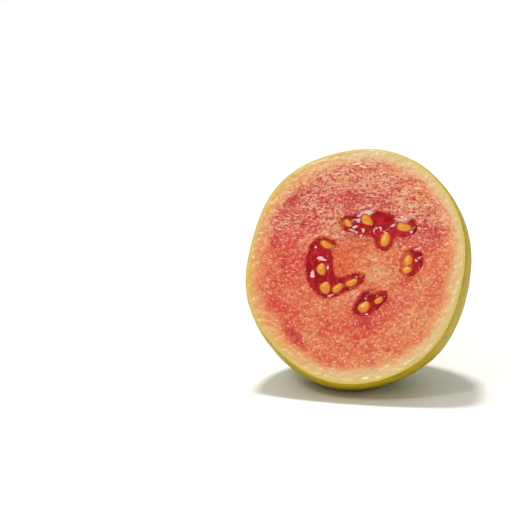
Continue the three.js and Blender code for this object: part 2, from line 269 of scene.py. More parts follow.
class GuavaStage(bpy.types.PropertyGroup):
    """Camera and light"""

    lens: FloatProperty(name="Lens", description="Focal length in millimetres", default=100, min=10)
    distance: length("Camera distance", "From the cut to the camera", 444.4)
    azimuth: angle("Azimuth", "Camera angle round the fruit", 10.3)
    elevation: angle("Elevation", "Camera angle above the floor", 11)
    key: strength("Key light", "Strength of the light overhead", 2.2)
    front: strength("Front light", "Strength of the light that glints off the cut", 0.6)
    side: strength("Side light", "Strength of the light from behind on the right", 0.15)
    sky: strength("Sky", "Strength of the white surroundings", 0.51)


# The fruit's form

def to_world(points):
    """Millimetres in the frame of the cut, turned, moved and scaled into metres in the world."""
    points = np.asarray(points, float)
    world = FACE_CENTRE + points[..., :1] * RIGHT + points[..., 1:2] * UP + points[..., 2:] * OUT
    return world * MM


def smoothstep(value, low, high):
    """Share of the way from low to high, eased at both ends: 3t squared minus 2t cubed."""
    t = np.clip((value - low) / (high - low), 0, 1)
    return t * t * (3 - 2 * t)


def wave(count, phi, degrees):
    return np.cos(count * phi - np.radians(degrees))


def circle(count):
    """Angles evenly spaced round a full turn."""
    return np.linspace(0, 2 * np.pi, count, endpoint=False)


def turned(x, y, angle):
    """A flat point turned about zero: x cosine less y sine, and x sine plus y cosine."""
    return x * np.cos(angle) - y * np.sin(angle), x * np.sin(angle) + y * np.cos(angle)


def round_axis(radius, phi, height):
    """Points at radius times cosine and sine of the angle, and at the height."""
    return np.stack(np.broadcast_arrays(radius * np.cos(phi), radius * np.sin(phi), height), -1)


def cut_radius(form, phi):
    """The mean radius, times one plus the sum of the outline's waves."""
    return form.cut_radius / MM * (1 + sum(swell * wave(n, phi, at) for n, swell, at in OUTLINE_WAVES))


def flare(phi):
    """A swelling on one side: its height times e to the power of how narrow it is times the cosine
    of the angle from its middle less one."""
    height, at, narrow, _ = FLARE
    return height * np.exp(narrow * (wave(1, phi, at) - 1))


def settle(points, clearance):
    """Lifts what lies under the floor's height onto it, with a parabola as the blend at the edge."""
    rise = np.array([UP[2], OUT[2]])
    height = FACE_CENTRE[2] + points[..., 1] * rise[0] + points[..., 2] * rise[1] - clearance
    eased = np.where(height <= -SETTLE_BLEND, 0, (height + SETTLE_BLEND) ** 2 / (4 * SETTLE_BLEND))
    lift = np.where(height >= SETTLE_BLEND, 0, eased - height)
    out = points.copy()
    out[..., 1] += lift * rise[0]
    out[..., 2] += lift * rise[1]
    return out


def fruit_surface(form, along, phi, shrink=0.0):
    """The fruit's surface, shrunk by some millimetres, at a share along from cut to blossom end.

    The girth is the sine of an angle that runs from the cut to the blossom end, over its value at
    the cut, to the power of the fullness. The depth is the cosine of that angle times the length.
    Lumps grow as the sine of pi times the depth's share, ribs ease in near the blossom end, the
    centre line bends with the square of that share, and a bell curve dents the blossom end. The
    flare of the rim fades out a little way behind the cut.
    """
    along, phi = np.broadcast_arrays(np.asarray(along, float), np.asarray(phi, float))
    widest = form.widest_behind_cut / MM
    blossom = form.blossom_length / MM - shrink
    cut_away = form.cut_away_length / MM - shrink
    cut_angle = math.acos(-widest / cut_away)
    angle = cut_angle * (1 - along)
    z = -widest - np.where(np.cos(angle) > 0, blossom, cut_away) * np.cos(angle)
    share = -z / (widest + blossom)
    girth = (np.maximum(np.sin(angle), 0) / math.sin(cut_angle)) ** form.fullness
    lumps = sum(h * wave(n, phi, at + twist * share) for n, h, at, twist in LUMPS)
    lumps = lumps * np.sin(np.pi * np.minimum(share, 1))
    count, height, at, start = BLOSSOM_RIBS
    ribs = height * wave(count, phi, at) * smoothstep(share, start, 1) * girth
    radius = (cut_radius(form, phi) - shrink + lumps + ribs) * girth
    radius = radius + flare(phi) * smoothstep(along, FLARE[3], 0.0)
    z = z + BASIN_DEPTH * np.exp(-((radius / BASIN_RADIUS) ** 2)) * along**2
    x = radius * np.cos(phi) + BLOSSOM_SHIFT[0] * share**2
    y = radius * np.sin(phi) + BLOSSOM_SHIFT[1] * share**2
    return settle(np.stack([x, y, z], -1), shrink)


def lattice_noise(points, size, seed):
    """Smooth noise from -1 to 1: hashed values at the corners of a cubic lattice, blended between
    the eight corners of each cell by an eased share along each axis."""
    place = np.asarray(points, float) / size
    cell = np.floor(place).astype(np.int64)
    part = place - cell
    part = part * part * (3 - 2 * part)
    total = np.zeros(place.shape[:-1])
    for corner in np.ndindex(2, 2, 2):
        at = cell + np.array(corner)
        key = at[..., 0] * 73856093 ^ at[..., 1] * 19349663 ^ at[..., 2] * 83492791 ^ (seed + 1) * 2654435761
        key = (key ^ (key >> 15)) * 2246822519 & 0xFFFFFFFF
        key = (key ^ (key >> 13)) * 3266489917 & 0xFFFFFFFF
        weight = np.prod(np.where(corner, part, 1 - part), -1)
        total += weight * ((key ^ (key >> 16)) & 0xFFFFFFFF) / 0xFFFFFFFF
    return total * 2 - 1


def layered_noise(points, size, seed, layers=3):
    """A sum of lattice noises, each half the size and half the strength of the one before."""
    return sum(lattice_noise(points, size / 2**i, seed + i) / 2**i for i in range(layers))


def noise_height(points, noises):
    """The sum of layered noises, each times its height."""
    return sum(height * layered_noise(points, *noise) for height, *noise in noises)


def grid_normals(points):
    """Unit normals of a grid that closes around its second way: the cross product of its two slopes."""
    around = np.roll(points, -1, 1) - np.roll(points, 1, 1)
    down = np.gradient(points, axis=0)
    normal = np.cross(around, down)
    return normal / np.maximum(np.linalg.norm(normal, axis=-1, keepdims=True), 1e-12)


# The seed pockets

def outline_curve(points, steps=OUTLINE_STEPS):
    """A closed Catmull-Rom curve through the points: each span a cubic whose end slopes follow the
    neighbours, with knots spaced by the square root of the distance."""
    p = np.array(points, float)
    before, after, beyond = (np.roll(p, places, 0) for places in (1, -1, -2))
    spans = ((before, p), (p, after), (after, beyond))
    d0, d1, d2 = (np.linalg.norm(b - a, axis=1)[:, None] ** 0.5 for a, b in spans)
    slope_in = ((p - before) / d0 - (after - before) / (d0 + d1) + (after - p) / d1) * d1
    slope_out = ((after - p) / d1 - (beyond - p) / (d1 + d2) + (beyond - after) / d2) * d1
    t = (np.arange(steps) / steps)[:, None, None]
    curve = (p + t * slope_in + t**2 * (-3 * p + 3 * after - 2 * slope_in - slope_out)
             + t**3 * (2 * p - 2 * after + slope_in + slope_out))
    return curve.transpose(1, 0, 2).reshape(-1, 2)


def distance_outside(flat, outline):
    """Distance from each point to a closed outline, positive outside it: the least distance to its
    spans, with the sign from how often a ray to the right crosses them."""
    nearest = np.full(len(flat), np.inf)
    crossings = np.zeros(len(flat), int)
    for start, end in zip(outline, np.roll(outline, -1, 0)):
        span = end - start
        share = np.clip((flat - start) @ span / (span @ span), 0, 1)
        nearest = np.minimum(nearest, np.linalg.norm(flat - start - share[:, None] * span, axis=1))
        spans_height = (start[1] > flat[:, 1]) != (end[1] > flat[:, 1])
        rise = span[1] if span[1] else 1e-12
        crossings += spans_height & (flat[:, 0] < start[0] + (flat[:, 1] - start[1]) * span[0] / rise)
    return np.where(crossings % 2, -nearest, nearest)


def pocket_distance(flat):
    """Distance from each point of the cut to the nearest pocket's wall, negative inside a pocket."""
    return np.min([distance_outside(flat, outline_curve(points)) for points, _, _ in POCKETS.values()], 0)


# Meshes

def signed_volume(points, faces):
    a, b, c = (points[faces[:, i]] for i in (0, 1, 2))
    volume = np.einsum("ij,ij->i", a, np.cross(b, c)).sum()
    if faces.shape[1] == 4:
        volume += np.einsum("ij,ij->i", a, np.cross(c, points[faces[:, 3]])).sum()
    return volume


def loft(start, rows, end):
    """Points and faces of a closed body: a start point, rows of points that close around, and an
    end point, joined by triangles at the two ends and by quads between the rows."""
    count, sides = rows.shape[:2]
    points = np.concatenate([np.reshape(start, (1, 3)), rows.reshape(-1, 3), np.reshape(end, (1, 3))])
    index = 1 + np.arange(count * sides).reshape(count, sides)
    beside = np.roll(index, -1, 1)
    quads = np.stack([index[:-1], beside[:-1], beside[1:], index[1:]], -1).reshape(-1, 4)
    first = np.stack([np.zeros(sides, int), beside[0], index[0]], -1)
    last = np.stack([np.full(sides, len(points) - 1), index[-1], beside[-1]], -1)
    if signed_volume(points, quads) + signed_volume(points, np.concatenate([first, last])) < 0:
        quads, first, last = quads[:, ::-1], first[:, ::-1], last[:, ::-1]
    return points, quads, np.concatenate([first, last])


def merge_bodies(bodies):
    """Several bodies as one set of points and faces, with each body's faces counted on."""
    offsets = np.cumsum([0] + [len(body[0]) for body in bodies[:-1]])
    counted = [(points, quads + n, ends + n) for (points, quads, ends), n in zip(bodies, offsets)]
    return [np.concatenate(parts) for parts in zip(*counted)]


def per_point(first, rows, last):
    """Values for the points of a loft: for those before its rows, those in its rows and the last."""
    return np.concatenate([np.atleast_1d(first), np.ravel(rows), [last]])


def add_object(name, data):
    thing = bpy.data.objects.new(name, data)
    bpy.context.scene.collection.objects.link(thing)
    return thing


def make_piece(name, body, material, nodes, attributes=None):
    """A mesh object from points in the frame of the cut, riding with the fruit in its nodes' place."""
    points, quads, triangles = body
    mesh = bpy.data.meshes.new(name)
    loops = np.concatenate([quads.ravel(), triangles.ravel()])
    sizes = np.concatenate([np.full(len(quads), 4), np.full(len(triangles), 3)])
    starts = np.concatenate([[0], np.cumsum(sizes)[:-1]])
    mesh.vertices.add(len(points))
    mesh.vertices.foreach_set("co", to_world(points).astype(np.float32).ravel())
    mesh.loops.add(len(loops))
    mesh.loops.foreach_set("vertex_index", loops.astype(np.int32))
    mesh.polygons.add(len(sizes))
    mesh.polygons.foreach_set("loop_start", starts.astype(np.int32))
    mesh.polygons.foreach_set("use_smooth", np.ones(len(sizes), bool))
    mesh.update(calc_edges=True)
    mesh.validate()
    for label, values in (attributes or {}).items():
        data = mesh.attributes.new(label, "FLOAT", "POINT").data
        data.foreach_set("value", np.asarray(values, np.float32))
    mesh.materials.append(material)
    piece = add_object(name, mesh)
    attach(piece, "root")
    if nodes:
        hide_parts(*nodes)


# Shader building

class Shader:
    """A short way to add and join the nodes of one material or node group."""

    def __init__(self, tree):
        self.tree = tree
        self.column = 0

    def feed(self, node, inputs):
        """Links the inputs that are given as sockets, and sets the others."""
        for key, value in inputs.items():
            if isinstance(value, bpy.types.NodeSocket):
                self.tree.links.new(value, node.inputs[key])
            else:
                node.inputs[key].default_value = value

    def add(self, kind, inputs=None, **settings):
        node = self.tree.nodes.new(kind)
        self.column += 1
        node.location = (self.column * 180, -220 * (self.column % 4))
        for key, value in settings.items():
            setattr(node, key, value)
        self.feed(node, inputs or {})
        return node

    def math(self, operation, a, b=0.0, clamp=False):
        return self.add("ShaderNodeMath", {0: a, 1: b}, operation=operation, use_clamp=clamp).outputs[0]

    def plus(self, a, b, clamp=False):
        return self.math("ADD", a, b, clamp)

    def less(self, a, b):
        return self.math("SUBTRACT", a, b)

    def times(self, *values):
        return functools.reduce(lambda a, b: self.math("MULTIPLY", a, b), values)

    def vector(self, operation, a, b):
        return self.add("ShaderNodeVectorMath", {0: a, 1: b}, operation=operation).outputs[0]

    def ease(self, value, low, high, to_low=0.0, to_high=1.0):
        inputs = {"Value": value, "From Min": low, "From Max": high, "To Min": to_low, "To Max": to_high}
        return self.add("ShaderNodeMapRange", inputs, interpolation_type="SMOOTHSTEP").outputs[0]

    def noise(self, place, scale, detail=3.0, roughness=0.55, bent=0.0, output="Fac"):
        inputs = {"Vector": place, "Scale": scale, "Detail": detail, "Roughness": roughness,
                  "Distortion": bent}
        return self.add("ShaderNodeTexNoise", inputs).outputs[output]

    def dots(self, place, per_mm, outside, inside):
        """Round dots at scattered points, fading from the inside distance to the outside one."""
        cells = self.add("ShaderNodeTexVoronoi", {"Vector": place, "Scale": per_mm})
        return self.ease(cells.outputs["Distance"], outside, inside)

    def mix(self, factor, a, b, blend="MIX"):
        """Colour b over colour a; a colour is a socket, or its red, green and blue."""
        a, b = (value if isinstance(value, bpy.types.NodeSocket) else (*value, 1.0) for value in (a, b))
        node = self.add("ShaderNodeMix", {0: factor, 6: a, 7: b}, data_type="RGBA", blend_type=blend)
        return node.outputs[2]

    def attribute(self, name):
        return self.add("ShaderNodeAttribute", attribute_name=name).outputs["Fac"]

    def frayed(self, name, ragged, amount, clamp=False):
        """A mask that the mesh carries, with its edge made ragged by a noise."""
        return self.plus(self.attribute(name), self.times(ragged, amount), clamp)

    def bump(self, height, strength, millimetres):
        inputs = {"Height": height, "Strength": strength, "Distance": millimetres * MM}
        return self.add("ShaderNodeBump", inputs).outputs[0]

    def shared(self, name, build, place, numbers):
        """The outputs of a node group that the materials share, made when it is first asked for."""
        tree = bpy.data.node_groups.get(name) or new_group(name, build, numbers)
        return self.add("ShaderNodeGroup", {"Vector": place, **numbers}, node_tree=tree).outputs

    def mottle(self, place, per_mm, cover, softness):
        numbers = {"Patches per mm": per_mm, "Cover": cover, "Softness": softness}
        return self.shared("Mottle", build_mottle, place, numbers)["Mask"]


def new_group(name, build, numbers):
    """A node group with a vector and named numbers as inputs, whose outputs build works out."""
    tree = bpy.data.node_groups.new(name, "ShaderNodeTree")
    tree.interface.new_socket(name="Vector", in_out="INPUT", socket_type="NodeSocketVector")
    for label, default in numbers.items():
        socket = tree.interface.new_socket(name=label, in_out="INPUT", socket_type="NodeSocketFloat")
        socket.default_value = default
    shader = Shader(tree)
    given = shader.add("NodeGroupInput").outputs
    results = build(shader, given["Vector"], *(given[label] for label in numbers))
    for label in results:
        tree.interface.new_socket(name=label, in_out="OUTPUT", socket_type="NodeSocketFloat")
    shader.feed(shader.add("NodeGroupOutput"), results)
    return tree


def build_mottle(s, place, per_mm, cover, softness):
    """Soft patches: two noises, the finer one pushing the edges of the coarser."""
    fine = s.noise(place, s.times(per_mm, 5.0))
    both = s.plus(s.times(s.noise(place, per_mm, 2.0), 0.75), s.times(fine, 0.25))
    edge = s.less(1.0, cover)
    return {"Mask": s.ease(both, s.less(edge, softness), s.plus(edge, softness))}


def build_grain(s, place, per_mm, bend):
    """Packed grains: the distance in cells of a Voronoi pattern that noise has bent, with a mask of
    the highest tops, which the flesh paints paler with a painted highlight, and one of the hollows between,
    which it darkens with painted shade."""
    centred = s.vector("SUBTRACT", s.noise(place, 0.9, 2.0, 0.5, output="Color"), (0.5, 0.5, 0.5))
    place = s.vector("ADD", place, s.vector("MULTIPLY", centred, bend))
    inputs = {"Vector": place, "Scale": per_mm, "Smoothness": 0.3}
    cells = s.add("ShaderNodeTexVoronoi", inputs, feature="SMOOTH_F1").outputs["Distance"]
    height = s.less(s.times(s.noise(place, s.times(per_mm, 1.5), 1.5, 0.5), 1.3), cells)
    return {"Height": height, "Tops": s.ease(height, 0.32, 0.62), "Hollows": s.ease(height, 0.2, -0.12)}


def build_streaks(s, place, per_mm):
    """Wavy ridges: the crests of a noise that is drawn out sideways and bent."""
    waves = s.noise(s.vector("MULTIPLY", place, (0.35, 1.0, 1.0)), per_mm, 2.0, 0.45, 0.7)
    return {"Height": s.ease(s.math("ABSOLUTE", s.less(waves, 0.5)), 0.055, 0.0)}


# Materials

class Material(Shader):
    """The nodes of a material whose base colour is laid down in layers."""

    def __init__(self, name):
        self.material = bpy.data.materials.new(name)
        self.material.use_nodes = True
        super().__init__(self.material.node_tree)

    def place(self):
        """Object coordinates, turned and scaled into millimetres in the frame of the cut."""
        inputs = {"Vector": self.add("ShaderNodeTexCoord").outputs["Object"], "Location": FACE_CENTRE * MM,
                  "Rotation": (math.pi / 2 - LEAN, 0, 0), "Scale": (MM, MM, MM)}
        return self.add("ShaderNodeMapping", inputs, vector_type="TEXTURE").outputs["Vector"]

    def lay(self, mask, colour, blend="MIX"):
        self.base = self.mix(mask, self.base, colour, blend)

    def finish(self, inputs):
        """Feeds the surface shader, and gives the material back."""
        self.feed(self.tree.nodes["Principled BSDF"], {"Base Color": self.base, **inputs})
        return self.material


def skin_material(colours):
    """Waxy peel: green and yellow in soft patches, yellower at the cut, with pale pores."""
    s = Material("guava_peel")
    place = s.place()
    along = s.attribute("along")
    patches = s.mottle(place, 0.06, 0.5, 0.16)
    s.base = s.mix(s.times(patches, 0.6), colours.peel_green, colours.peel_lime)
    s.lay(s.times(s.mottle(place, 0.4, 0.45, 0.14), 0.5), tint("lime blotch"))
    near_cut = s.plus(along, s.times(s.less(patches, 0.5), 0.12))
    s.lay(s.ease(near_cut, 0.42, 0.05), colours.peel_yellow)
    s.lay(s.times(s.mottle(place, 0.25, 0.4, 0.1), 0.5), tint("olive blotch"))
    pores = s.dots(place, 0.75, 0.17, 0.08)
    s.lay(s.times(pores, 0.5), tint("pore"))
    s.lay(s.ease(s.attribute("rim"), 0.15, 0.5), colours.peel_edge)
    s.lay(s.times(s.ease(along, 0.93, 1.0), 0.7), tint("basin"))
    pebbles = s.plus(s.noise(place, 1.0, 4.0, 0.6), s.times(pores, -0.25))
    return s.finish({
        "Roughness": s.ease(s.noise(place, 0.6), 0.3, 0.7, 0.36, 0.52),
        "Normal": s.bump(pebbles, 0.6, 0.7), "IOR": 1.33, "Specular IOR Level": 0.1,
        "Coat Weight": 0.02, "Coat Roughness": 0.25,
    })


def flesh_material(colours):
    """Moist flesh: salmon and coral patches, orange round the middle, cream next to the peel,
    crimson marks and pocket walls, fine grains whose tops are paler with a painted highlight and whose
    hollows hold painted shade, wavy pale streaks above, and painted glare over the pockets' rims."""
    s = Material("guava_flesh")
    place = s.place()
    ways = s.add("ShaderNodeSeparateXYZ", {0: place}).outputs
    high = s.ease(ways["Y"], 4.0, 13.0, 0.1, 1.0)
    grain = s.shared("Grain", build_grain, place, {"Grains per mm": 0.98, "Bend": 1.0})
    streaks = s.times(s.shared("Streaks", build_streaks, place, {"Streaks per mm": 1.15})["Height"], high)
    ragged = s.less(s.noise(place, 0.7, 4.0, 0.65), 0.5)
    redder = s.plus(s.times(s.mottle(place, 0.16, 0.5, 0.13), 0.6), s.attribute("redness"), True)
    s.base = s.mix(redder, colours.salmon, colours.coral)
    outer = s.attribute("outer")
    paler = s.plus(s.times(s.mottle(place, 0.36, 0.36, 0.12), 0.55), s.attribute("pale"), True)
    s.lay(s.math("MAXIMUM", paler, s.times(outer, 0.35)), colours.pale)
    middle = s.frayed("middle", ragged, 0.5, True)
    s.lay(s.times(middle, 0.95), colours.orange)
    speckled = s.times(s.mottle(place, 0.8, 0.3, 0.07), s.plus(s.times(redder, 0.6), 0.2))
    s.lay(speckled, tint("speck"))
    s.lay(s.times(streaks, 0.95), tint("streak"))
    s.lay(s.times(s.dots(place, 0.5, 0.2, 0.1), 0.6), tint("pale dot"))
    s.lay(s.ease(s.frayed("marks", ragged, 1.7), 0.25, 0.85, 0.0, 0.8), colours.crimson)
    s.lay(s.ease(s.frayed("wall", ragged, 1.3), 0.3, 0.95), colours.crimson)
    # Painted glare: pale highlight painted over the pockets' upper rims
    s.lay(s.ease(s.frayed("film", ragged, 1.4), 0.35, 0.75, 0.0, 0.9), colours.film)
    cream = s.frayed("cream", ragged, 0.3, True)
    creamy = s.mix(s.ease(ways["X"], -2.0, -24.0), colours.cream, colours.warm_cream)
    s.lay(cream, creamy)
    s.lay(s.attribute("edge"), colours.peel_edge)
    grainy = s.times(s.less(1.0, s.times(cream, 0.75)), s.ease(outer, 0.0, 1.0, 1.0, 0.45))
    # Paler grain tops with a painted highlight, the sparkle of the moist grains
    tops = s.times(grain["Tops"], 0.6, grainy, s.less(1.0, s.times(middle, 0.85)))
    s.lay(tops, tint("grain top and highlight"))
    # Painted shade in the hollows between the grains, with a redder tint, stronger higher up the cut
    hollows = s.times(grain["Hollows"], s.plus(0.42, s.times(high, 0.58)), grainy,
                      s.less(s.plus(1.0, s.times(middle, 0.2)), streaks))
    s.lay(hollows, tint("grain hollow shade"), "MULTIPLY")
    rough = s.ease(s.noise(place, 0.8, 4.0, 0.7), 0.35, 0.65, 0.16, 0.42)
    height = s.plus(grain["Height"], s.times(s.noise(place, 2.6, 2.0, 0.6), 0.45))
    height = s.times(s.plus(height, s.times(streaks, 0.6)), grainy)
    return s.finish({
        "Roughness": s.times(rough, s.ease(s.attribute("wall"), 0.0, 0.6, 1.0, 0.5)),
        "Normal": s.bump(height, 0.7, 0.5), "Coat Weight": 0.12, "Coat Roughness": 0.15,
        "Subsurface Weight": 0.08, "Subsurface Radius": (1.0, 0.35, 0.2), "Subsurface Scale": 0.001,
    })


def pulp_material(colours):
    """Wet jelly: dark crimson with redder thin places, orange where flesh shows through with a painted
    highlight on its grain tops and painted shade in its hollows, painted glare over the rims, and a very
    smooth coat."""
    s = Material("guava_pulp")
    place = s.place()
    thin = s.mottle(place, 0.55, 0.42, 0.12)
    s.base = s.mix(s.times(thin, 0.75), colours.pulp, colours.pulp_thin)
    s.lay(s.ease(s.attribute("rim"), 0.6, 1.0, 0.0, 0.5), tint("pulp rim"))
    ragged = s.less(s.noise(place, 0.8, 4.0, 0.65), 0.5)
    grain = s.shared("Grain", build_grain, place, {"Grains per mm": 0.9, "Bend": 1.2})
    s.lay(s.times(grain["Tops"], 0.35), tint("pulp grain"))
    near = s.frayed("near_seed", ragged, 0.6)
    s.lay(s.ease(near, 0.3, 0.85, 0.0, 0.75), tint("round seed"))
    # Flesh showing through: paler tops with a painted highlight, and painted shade multiplied into the
    # hollows
    shreds = s.mix(s.times(grain["Tops"], 0.8), tint("shred"), tint("shred top and highlight"))
    shreds = s.mix(s.times(grain["Hollows"], 0.5), shreds, tint("shred hollow shade"), "MULTIPLY")
    fleshy = s.ease(s.frayed("fleshy", ragged, 1.3), 0.25, 0.8)
    s.lay(s.times(fleshy, 0.95), shreds)
    # Painted glare: pale highlight painted over the pockets' upper rims
    s.lay(s.ease(s.frayed("film", ragged, 1.2), 0.35, 0.7, 0.0, 0.9), colours.film)
    return s.finish({
        "Roughness": s.plus(s.ease(thin, 0.0, 1.0, 0.14, 0.24), s.times(fleshy, 0.15)),
        "Normal": s.bump(grain["Height"], 0.25, 0.5), "Specular IOR Level": 0.05,
        "Coat Weight": s.less(0.45, s.times(fleshy, 0.35)), "Coat Roughness": 0.03,
        "Subsurface Weight": 0.05, "Subsurface Radius": (1.0, 0.15, 0.1), "Subsurface Scale": 0.001,
    })


def seed_material(colours):
    """Hard, smooth seed coat: yellow-orange, darker towards its edge and in faint patches."""
    s = Material("guava_seed")
    place = s.place()
    patches = s.mottle(place, 0.42, 0.5, 0.14)
    low = s.frayed("low", s.less(s.noise(place, 1.4), 0.5), 0.6)
    s.base = s.mix(s.times(patches, 0.65), colours.seed, colours.seed_gold)
    s.lay(s.ease(low, 0.1, 0.95), colours.seed_edge)
    s.lay(s.ease(low, 0.9, 1.05, 0.0, 0.8), tint("seed root"))
    return s.finish({
        "Roughness": s.ease(patches, 0.0, 1.0, 0.24, 0.36),
        "Normal": s.bump(s.noise(place, 1.6), 0.2, 0.3), "Coat Weight": 0.45, "Coat Roughness": 0.08,
        "Subsurface Weight": 0.12, "Subsurface Radius": (1.0, 0.5, 0.2), "Subsurface Scale": 0.0012,
    })


def crown_material(colours):
    """Dried sepals: brown in darker and lighter patches, with pale fibres."""
    s = Material("guava_crown")
    place = s.place()
    s.base = s.mix(s.mottle(place, 0.5, 0.5, 0.2), colours.crown, tint("dark sepal"))
    fibres = s.noise(place, 3.0, 4.0, 0.7)
    s.lay(s.ease(fibres, 0.5, 0.7, 0.0, 0.6), tint("fibre"))
    return s.finish({
        "Roughness": s.ease(fibres, 0.3, 0.7, 0.65, 0.85),
        "Normal": s.bump(fibres, 0.6, 0.3),
    })


# Pieces

def build_skin(form, colours):
    """A thin cup: the fruit's surface from blossom end to cut, pushed out along its normals by
    layers of noise, then a rounded rim, then the same surface shrunk by the peel's thickness."""
    phi = circle(form.around)
    along = np.linspace(1, 0, PEEL_ROWS + 1)[1:]
    outside = fruit_surface(form, along[:, None], phi)
    relief = noise_height(outside, PEEL_NOISE)
    fade = smoothstep(along, 0, 0.03)[:, None] * smoothstep(along, 1, 0.97)[:, None]
    outside = outside + grid_normals(outside) * (relief * fade)[..., None]
    outside = settle(outside, 0.0)
    peel = form.peel / MM
    rim = [fruit_surface(form, 0.0, phi, inset) + [0, 0, rise] for inset, rise, _ in PEEL_RIM]
    back = np.linspace(0, 1, INSIDE_ROWS + 1)[:-1]
    inside = fruit_surface(form, back[:, None], phi, peel)
    inside[0, :, 2] -= 0.02
    outside[-1, :, 2] -= 0.3
    rows = np.concatenate([outside, rim, inside])
    body = loft(fruit_surface(form, 1.0, 0.0), rows, fruit_surface(form, 1.0, 0.0, peel))
    rim_share = np.concatenate([0 * along, [share for _, _, share in PEEL_RIM], 0 * back + 1])
    along_share = np.concatenate([along, np.zeros(len(rim)), back])
    attributes = {
        "along": per_point(1, np.repeat(along_share, form.around), 1),
        "rim": per_point(0, np.repeat(rim_share, form.around), 1),
    }
    make_piece("peel", body, skin_material(colours), ["skin"], attributes)


def cream_width(phi):
    """Width of the pale band next to the peel: its mean plus the sum of its waves, which make it
    widest at the bottom and narrowest at the left."""
    return CREAM_WIDTH + sum(height * wave(n, phi, at) for n, height, at in CREAM_WAVES)


def spots(flat, places):
    """The strongest, at each point, of bell curves on ellipses at the given places."""
    strength = np.zeros(flat.shape[:-1])
    for x, y, half_length, half_width, degrees, most in places:
        along, across = turned(flat[..., 0] - x, flat[..., 1] - y, -math.radians(degrees))
        bell = np.exp(-((along / half_length) ** 2 + (across / half_width) ** 2))
        strength = np.maximum(strength, most * bell)
    return strength


def build_flesh(form, colours):
    """The body inside the peel: its back is the fruit's surface shrunk by the peel, and its front a
    disc of rings whose height is grain noise, less the pockets, whose walls ease down as the
    distance to their outline goes from outside to inside."""
    phi = circle(form.around)
    peel = form.peel / MM + 0.01
    along = np.linspace(1, 0, BACK_ROWS + 2)[1:-1]
    back = fruit_surface(form, along[:, None], phi, peel)
    radius = cut_radius(form, phi) - peel + flare(phi)
    share = np.linspace(1, 0, FACE_ROWS + 1)[:-1, None]
    face = round_axis(share * radius, phi, 0.0)
    flat = face[..., :2]
    wall = pocket_distance(flat.reshape(-1, 2)).reshape(flat.shape[:2])
    rim = (1 - share) * radius
    ragged = wall + 0.3 * layered_noise(face, 1.5, 41, 2)
    relief = form.grain / MM * layered_noise(face, 1.0, 11, 2) + noise_height(face, CUT_NOISE)
    lip = LIP_HEIGHT * np.exp(-(((ragged - LIP_PLACE) / LIP_WIDTH) ** 2))
    relief = relief * smoothstep(rim, 0.0, 1.2) + lip
    drop = form.pocket_depth / MM * smoothstep(ragged, 0.25, -0.45)
    face[..., 2] = relief * smoothstep(ragged, -0.5, 0.3) - drop
    rows = np.concatenate([back, face])
    body = loft(fruit_surface(form, 1.0, 0.0, peel), rows, np.array([0.0, 0.0, face[-1, :, 2].mean()]))
    band = rim + 0.5 * layered_noise(face, 3.0, 57, 2)
    cream = smoothstep(band, *(part * cream_width(phi) for part in CREAM_FADE))
    bleed = 1 - 0.85 * np.clip(spots(flat, FLESHY_SPOTS), 0, 1)
    ring = rim + 1.6 * layered_noise(face, 6.0, 55, 2)
    outer = smoothstep(ring, 6.2, 3.0)
    inner = ring - 1.3 * np.cos(phi)
    redness = 0.34 * smoothstep(inner, 4.2, 9.0) * smoothstep(inner, 24.0, 13.0)
    redness = redness + 0.35 * lattice_noise(face, 7.0, 51) + spots(flat, REDDER_SPOTS)
    masks = {
        "wall": smoothstep(wall, 1.7, -0.2) * bleed,
        "marks": spots(flat, MARKS),
        "edge": smoothstep(rim, 1.0, 0.0),
        "middle": spots(flat, ORANGE_SPOTS),
        "pale": spots(flat, PALE_SPOTS),
        "outer": outer,
        # Mask of the painted glare
        "film": spots(flat, PAINTED_GLARE_SPOTS),
        "redness": np.clip(redness * (1 - outer), 0, 1),
    }
    behind = np.zeros(1 + back.size // 3)
    attributes = {name: per_point(behind, values, 0) for name, values in masks.items()}
    attributes["cream"] = per_point(behind + 1, cream, 0)
    make_piece("cut_flesh", body, flesh_material(colours), ["flesh"], attributes)


def rails(pocket, count):
    """The two sides of a pocket's outline between its ends, each as points along it that lie closer
    together near the ends: half the share of the length is even, and half is eased by a cosine."""
    points, first, second = POCKETS[pocket]
    curve = np.roll(outline_curve(points), -first * OUTLINE_STEPS, 0)
    split = (second - first) * OUTLINE_STEPS
    sides = []
    for side in (curve[:split + 1], np.concatenate([curve[split:], curve[:1]])[::-1]):
        reach = np.concatenate([[0], np.cumsum(np.linalg.norm(np.diff(side, axis=0), axis=1))])
        ease = (1 - np.cos(np.linspace(0, np.pi, count))) / 2
        wanted = (0.5 * ease + 0.5 * np.linspace(0, 1, count)) * reach[-1]
        sides.append(np.stack([np.interp(wanted, reach, side[:, i]) for i in (0, 1)], -1))
    return sides


